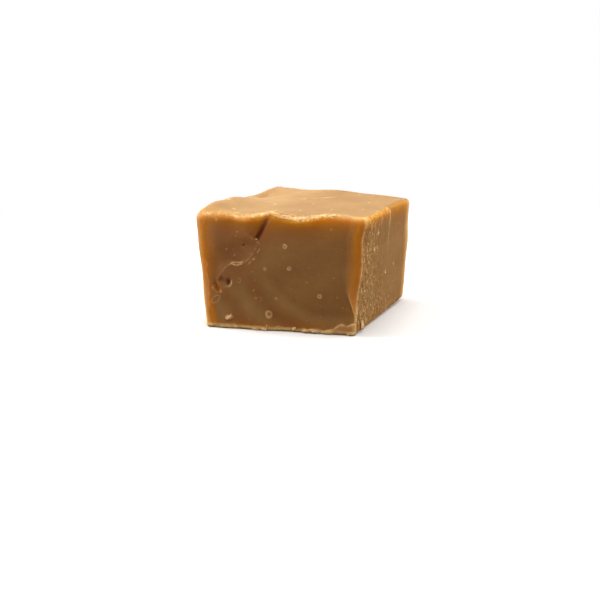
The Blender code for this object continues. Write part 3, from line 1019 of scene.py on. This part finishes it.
# %% Fudge colour: its layers
LAYERS = ["Warm", "Amber", "Skin", "Pale", "Deep"]
colours, given, result = new_group("Fudge colour", LAYERS, [("Color", "Color")])
warm, amber, skin, pale, deep = [given.outputs[layer] for layer in LAYERS]
colour = BROWN
layers = [(WARM_AND_SHADED_BROWN, warm), (PAINTED_GLOW_AMBER, amber), (PAINTED_GLOW_HONEY, math(colours, "POWER", amber, 3.0))]
for paint, mask in layers + [(SKIN, skin), (PALE_AND_PAINTED_LIGHT, pale), (PAINTED_SHADE_COLOUR, deep)]:
    colour = lay_over(colours, colour, paint, mask)
patches = noise(colours, 0.35, 2.0)
mottle = new_node(colours, "MapRange", patches, From_Min=0.3, From_Max=0.7, To_Min=0.94, To_Max=1.05)
shade = new_node(colours, "VectorMath", colour, operation="SCALE", Scale=mottle.outputs[0])
feed(colours, shade.outputs[0], result.inputs["Color"])
print("colour group", len(colours.nodes), "nodes")

# %% [markdown]
# The grain of fudge
#
# Under a lens the surface is a field of tiny sugar crystals. A second group gives a height for the bump,
# from a fine and a coarse noise, and a dust of lighter specks, where the fine noise is highest. Rougher
# places get more of both.

# %% Sugar grain group
sugar, given, result = new_group("Sugar grain", ["Rough"], [("Height", "Float"), ("Specks", "Float")])
fine = noise(sugar, 3.2, 3.0)
coarse = noise(sugar, 1.1, 2.0)
amount = math(sugar, "MULTIPLY_ADD", given.outputs["Rough"], 0.8, 0.2)
height = math(sugar, "ADD", math(sugar, "MULTIPLY", fine, amount), math(sugar, "MULTIPLY", coarse, 0.35))
feed(sugar, height, result.inputs["Height"])
dust = new_node(sugar, "MapRange", fine, From_Min=0.62, From_Max=0.74, To_Min=0.0, To_Max=0.7)
feed(sugar, math(sugar, "MULTIPLY", dust.outputs[0], amount), result.inputs["Specks"])
print("sugar group", len(sugar.nodes), "nodes")

# %% [markdown]
# The material
#
# Fudge is cloudy, not opaque: red light travels nearly 4 mm in it, blue less than half as far. That is what
# Subsurface does, with one radius for each colour. On top sits a thin waxy gloss, duller on the skin, on
# bruised sugar and in hollows. The block's masks come in through Attribute nodes, one for each. A crumb is
# alike all over, so its masks and its gloss are plain numbers.

# %% Fudge material
WAXY, DULL, HOLLOW = 0.46, 0.82, 0.4
CRUMB_ROUGHNESS = 0.766


def fudge_material(name, masks, bump, depth):
    """The food's material. Masks are attribute names, or numbers where a piece is alike all over."""
    material = bpy.data.materials.new(name)
    material.use_nodes = True
    tree = material.node_tree
    shader = tree.nodes["Principled BSDF"]
    tint = new_node(tree, "Group", node_tree=colours)
    grit = new_node(tree, "Group", node_tree=sugar)
    by_place = isinstance(masks["Skin"], str)
    if by_place:
        masks = {m: new_node(tree, "Attribute", attribute_name=masks[m]).outputs["Fac"] for m in masks}
    for layer in ("Warm", "Amber", "Skin", "Deep"):
        feed(tree, masks[layer], tint.inputs[layer])
    feed(tree, masks["Rough"], grit.inputs["Rough"])
    feed(tree, math(tree, "MAXIMUM", masks["Pale"], grit.outputs["Specks"]), tint.inputs["Pale"])
    feed(tree, tint.outputs["Color"], shader.inputs["Base Color"])

    bumps = new_node(tree, "Bump", Strength=bump, Distance=0.1 * MM, Height=grit.outputs["Height"])
    feed(tree, bumps.outputs["Normal"], shader.inputs["Normal"])
    roughness = CRUMB_ROUGHNESS
    if by_place:
        torn = math(tree, "MAXIMUM", masks["Rough"], masks["Pale"])
        matt = math(tree, "MAXIMUM", masks["Skin"], torn)
        dull = new_node(tree, "MapRange", matt, To_Min=WAXY, To_Max=DULL).outputs[0]
        roughness = math(tree, "ADD", dull, math(tree, "MULTIPLY", masks["Deep"], HOLLOW))
    feed(tree, roughness, shader.inputs["Roughness"])

    shader.inputs["IOR"].default_value = 1.45
    shader.inputs["Specular IOR Level"].default_value = 0.32
    shader.inputs["Subsurface Weight"].default_value = 0.85
    shader.inputs["Subsurface Radius"].default_value = (1.0, 0.8, 0.4)
    shader.inputs["Subsurface Scale"].default_value = depth * MM
    print("material", name, "with", len(tree.nodes), "nodes")
    return material


BLOCK_MASKS = {layer: layer.lower() for layer in LAYERS + ["Rough"]}
block.data.materials.append(fudge_material("cut fudge", BLOCK_MASKS, 0.6, 3.8))
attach(block, "root")
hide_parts("fudge_cube")

# %% [markdown]
# Crumbs
#
# Where the blade leaves the rim it tears the sugar into crumbs, which stick to the edge. They lie densest
# on the middle of the front rim. Others cling to the other rims, the foot and the rough parts of the right
# side. Each is a tiny ball pushed out of shape, and all of them are one mesh. A place on the block is found
# by sending a point of the cube through the same function that shaped the block.

# %% Crumbs
# Crumbs and shavings get a little painted glow.
PIECE_MASKS = {"Warm": 0.0, "Amber": 0.25, "Skin": 0.0, "Pale": 0.85, "Deep": 0.0, "Rough": 0.6}
CRUMB_ROWS = [
    # Start and end on the cube (in mm from its middle), count, smallest and largest radius, spread.
    ((-6.0, -17.7, 12.0), (11.0, -17.7, 12.0), 190, 0.07, 0.24, 0.3),
    ((-12.0, -17.7, 12.0), (-6.0, -17.7, 12.0), 20, 0.05, 0.12, 0.4),
    ((11.0, -17.7, 12.0), (16.5, -17.7, 12.0), 14, 0.05, 0.11, 0.4),
    ((17.0, -17.0, 12.0), (17.0, -2.0, 12.0), 30, 0.04, 0.12, 0.4),
    ((17.0, -2.0, 12.0), (17.0, 16.0, 12.0), 3, 0.04, 0.08, 0.4),
    ((-15.0, 17.7, 12.0), (16.0, 17.7, 12.0), 25, 0.06, 0.2, 0.4),
    ((17.0, -17.7, -11.0), (17.0, -17.7, 11.0), 20, 0.04, 0.1, 0.25),
    ((-15.0, -17.7, -11.8), (16.0, -17.7, -11.8), 60, 0.05, 0.18, 0.3),
    ((17.0, -17.0, -11.8), (17.0, 15.0, -11.8), 40, 0.05, 0.18, 0.5),
    ((17.0, -13.5, -11.0), (17.0, -12.0, 9.0), 110, 0.04, 0.13, 1.3),
    ((17.0, -15.5, -9.0), (17.0, 4.0, -9.0), 70, 0.04, 0.12, 2.0),
    ((17.0, -6.0, -6.0), (17.0, 2.0, 6.0), 30, 0.04, 0.10, 3.0),
]


def on_block(points):
    """Places on the block's surface for points of the plain box, and the ways they face."""
    unit = np.array(points) / HALF
    unit /= np.abs(unit).max(axis=1, keepdims=True)
    return worn_block(unit), rounded(unit)[1]


draw = np.random.default_rng(101)
spots, radii = [], []
for start, end, count, smallest, largest, spread in CRUMB_ROWS:
    share = draw.random((count, 1))
    line = np.array(start) * (1 - share) + np.array(end) * share
    spots.append(line + draw.normal(0, spread, (count, 3)))
    radii.append(smallest * (largest / smallest) ** (draw.random(count) ** 1.5))
places, ways = on_block(np.concatenate(spots))
radii = np.concatenate(radii)

bm = bmesh.new()
for place, way, radius in zip(places, ways, radii):
    middle = Vector(place - way * radius * 0.1) * MM
    at = Matrix.Translation(middle)
    ball = bmesh.ops.create_icosphere(bm, subdivisions=1, radius=radius * MM, matrix=at)["verts"]
    stretch = Vector(draw.uniform(0.6, 1.3, 3))
    for vertex in ball:
        vertex.co = middle + (vertex.co - middle) * stretch * draw.uniform(0.8, 1.2)
        vertex.co.z = max(vertex.co.z, 0.0)
crumbs = new_object("crumbs", bm)
crumbs.data.materials.append(fudge_material("crumb sugar", PIECE_MASKS, 0.6, 0.15))
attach(crumbs, "root")
print("crumbs", len(radii), "with", len(crumbs.data.polygons), "faces")

# %% [markdown]
# Shavings
#
# The blade also lifts thin flakes that stay stuck by one side: eight low on the front, one at the end of the
# cleft and six on the right side. Each is a small grid, bent and crumpled a little, then given a thickness.
# It is turned so that its back lies on the block.

# %% Shavings
SHAVINGS = [
    # Place on the plain box, length, width, turn on the side in degrees, how far it stands off.
    ((-11.3, -17.7, -9.7), 1.5, 0.8, 15, 0.25),
    ((-10.7, -17.7, -9.3), 0.9, 0.5, 70, 0.3),
    ((-4.8, -17.7, -11.6), 1.6, 0.5, 4, 0.15),
    ((-3.0, -17.7, -11.5), 1.4, 0.6, -6, 0.2),
    ((-2.4, -17.7, -11.1), 0.8, 0.35, 75, 0.3),
    ((3.7, -17.7, -11.2), 0.9, 0.6, 30, 0.25),
    ((6.2, -17.7, -11.4), 1.5, 0.5, 8, 0.2),
    ((8.0, -17.7, -11.3), 1.4, 0.55, -12, 0.2),
    ((-4.7, -17.7, 6.8), 0.7, 0.5, -40, 0.2),
    ((17.0, -14.2, -10.5), 1.7, 1.7, 65, 0.3),
    ((17.0, -10.0, 7.9), 0.9, 0.5, 70, 0.25),
    ((17.0, -11.3, 4.8), 0.8, 0.45, 60, 0.25),
    ((17.0, -9.6, 5.0), 0.7, 0.4, 100, 0.25),
    ((17.0, 4.8, -1.1), 0.7, 0.5, 80, 0.2),
    ((17.0, -1.2, -1.8), 0.8, 0.4, 60, 0.2),
]
FLAKE_STEPS, FLAKE_THICKNESS = 6, 0.07

bm = bmesh.new()
for spot, length, width, turn, lift in SHAVINGS:
    place, way = on_block([spot])
    outwards = Vector(way[0]).to_track_quat("Z", "Y").to_matrix().to_4x4()
    at = Matrix.Translation(Vector(place[0]) * MM) @ outwards @ Matrix.Rotation(np.radians(turn), 4, "Z")
    flake = bmesh.ops.create_grid(bm, x_segments=FLAKE_STEPS, y_segments=3, size=0.5)["verts"]
    ragged = draw.uniform(0.6, 1.0, FLAKE_STEPS + 2)
    for vertex in flake:
        u, v = vertex.co.x, vertex.co.y
        reach = ragged[int(round((u + 0.5) * FLAKE_STEPS))]
        height = lift * (0.1 + (v - 0.5) ** 2) * (0.7 + 0.3 * np.sin(7 * u + turn)) + 0.04 * draw.normal()
        taper = 1 - 2.4 * u * u
        vertex.co = Vector((u * length, v * width * reach * taper, height)) * MM
    bmesh.ops.transform(bm, matrix=at, verts=flake)
shavings = new_object("shavings", bm)
thick = shavings.modifiers.new("Thickness", "SOLIDIFY")
thick.thickness, thick.offset = FLAKE_THICKNESS * MM, 0
apply_modifiers(shavings)
shavings.data.shade_smooth()
shavings.data.materials.append(fudge_material("shaved fudge", PIECE_MASKS, 0.5, 0.02))
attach(shavings, "root")
print("shavings", len(SHAVINGS), "with", len(shavings.data.polygons), "faces")
